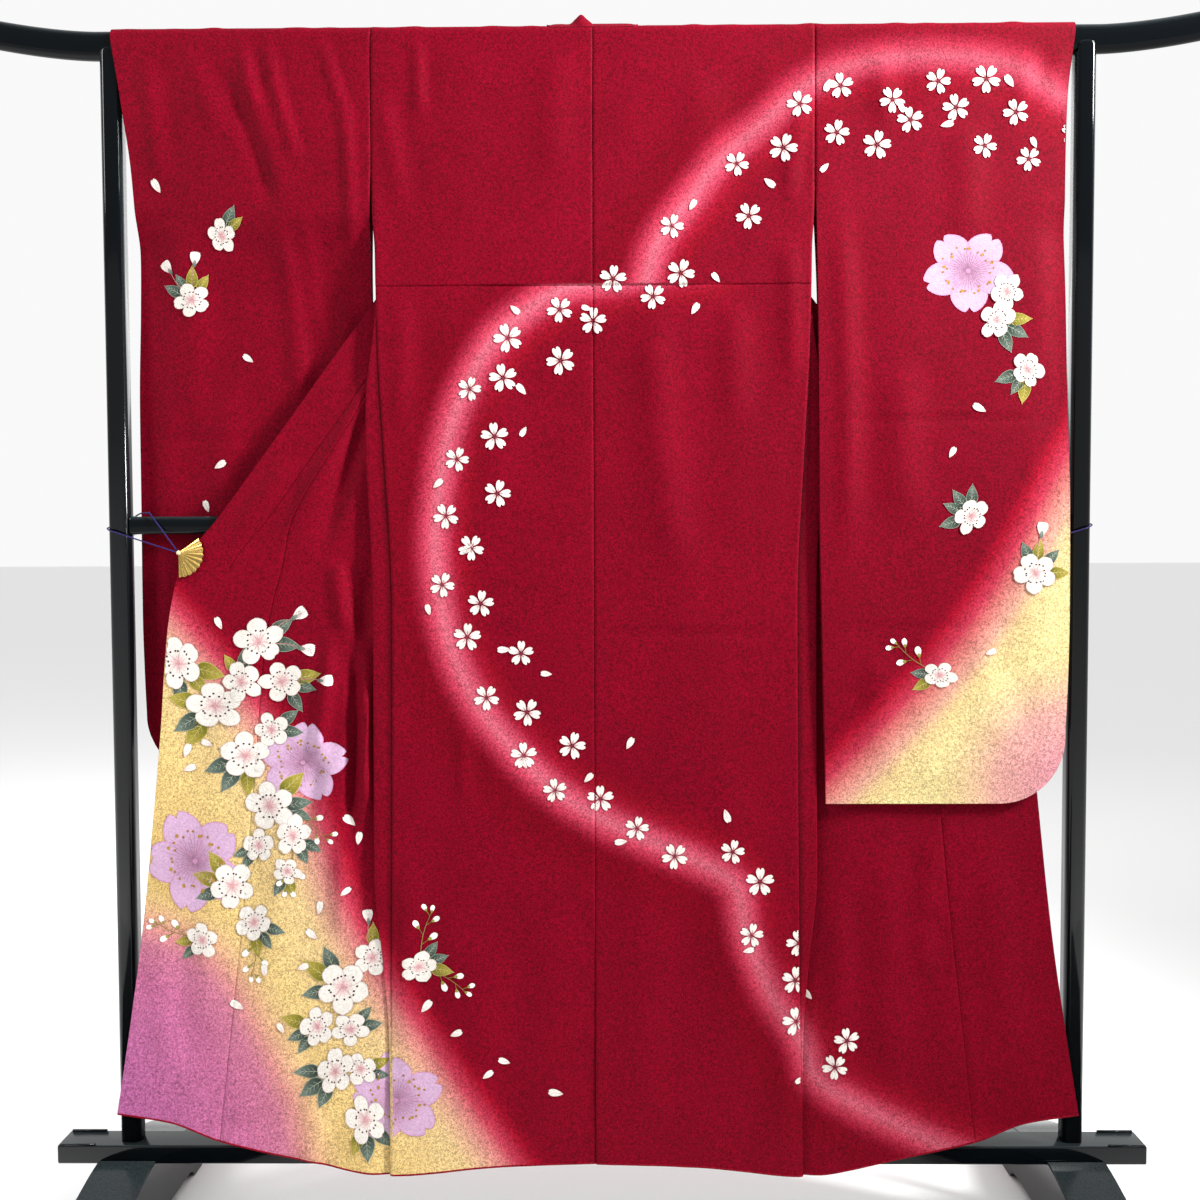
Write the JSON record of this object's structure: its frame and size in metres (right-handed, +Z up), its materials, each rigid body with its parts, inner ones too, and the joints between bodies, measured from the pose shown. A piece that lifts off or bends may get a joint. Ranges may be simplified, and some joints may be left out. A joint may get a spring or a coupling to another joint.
{
  "type": "furisode kimono on a kimono stand",
  "caption": "Long-sleeved crimson silk kimono hung from the bar of a black lacquered stand, its fronts drawn out to the sides by fan clips on cords.",
  "frame": {"origin": "on the floor under the middle of the stand, the floor at Z = 0", "axes": "+X along the bars towards the kimono's right sleeve, the kimono's back and its design face -Y, +Z up"},
  "size_m": [1.76, 0.48, 1.71],
  "materials": {
    "silk": "matte crepe weave with a soft sheen",
    "lacquer": "deep gloss black lacquer on wood",
    "gilt": "satin gilt",
    "pearl": "gloss pearl",
    "cord": "braided silk"
  },
  "bodies": {
    "root": {"stand_bar": "lacquer", "stand_crossbar": "lacquer", "stand_beam": "lacquer", "stand_post_left": "lacquer", "stand_foot_left": "lacquer", "stand_post_right": "lacquer", "stand_foot_right": "lacquer", "body_left_back": "silk", "body_left_front": "silk", "overlap_left": "silk", "body_right_back": "silk", "body_right_front": "silk", "overlap_right": "silk", "collar": "silk", "sleeve_left_back": "silk", "sleeve_right_back": "silk", "sleeve_left_front": "silk", "sleeve_right_front": "silk", "clip_left": "gilt", "fan_left": "gilt", "bead_left": "pearl", "cord_left": "cord", "clip_right": "gilt", "fan_right": "gilt", "bead_right": "pearl", "cord_right": "cord"}
  },
  "joints": []
}
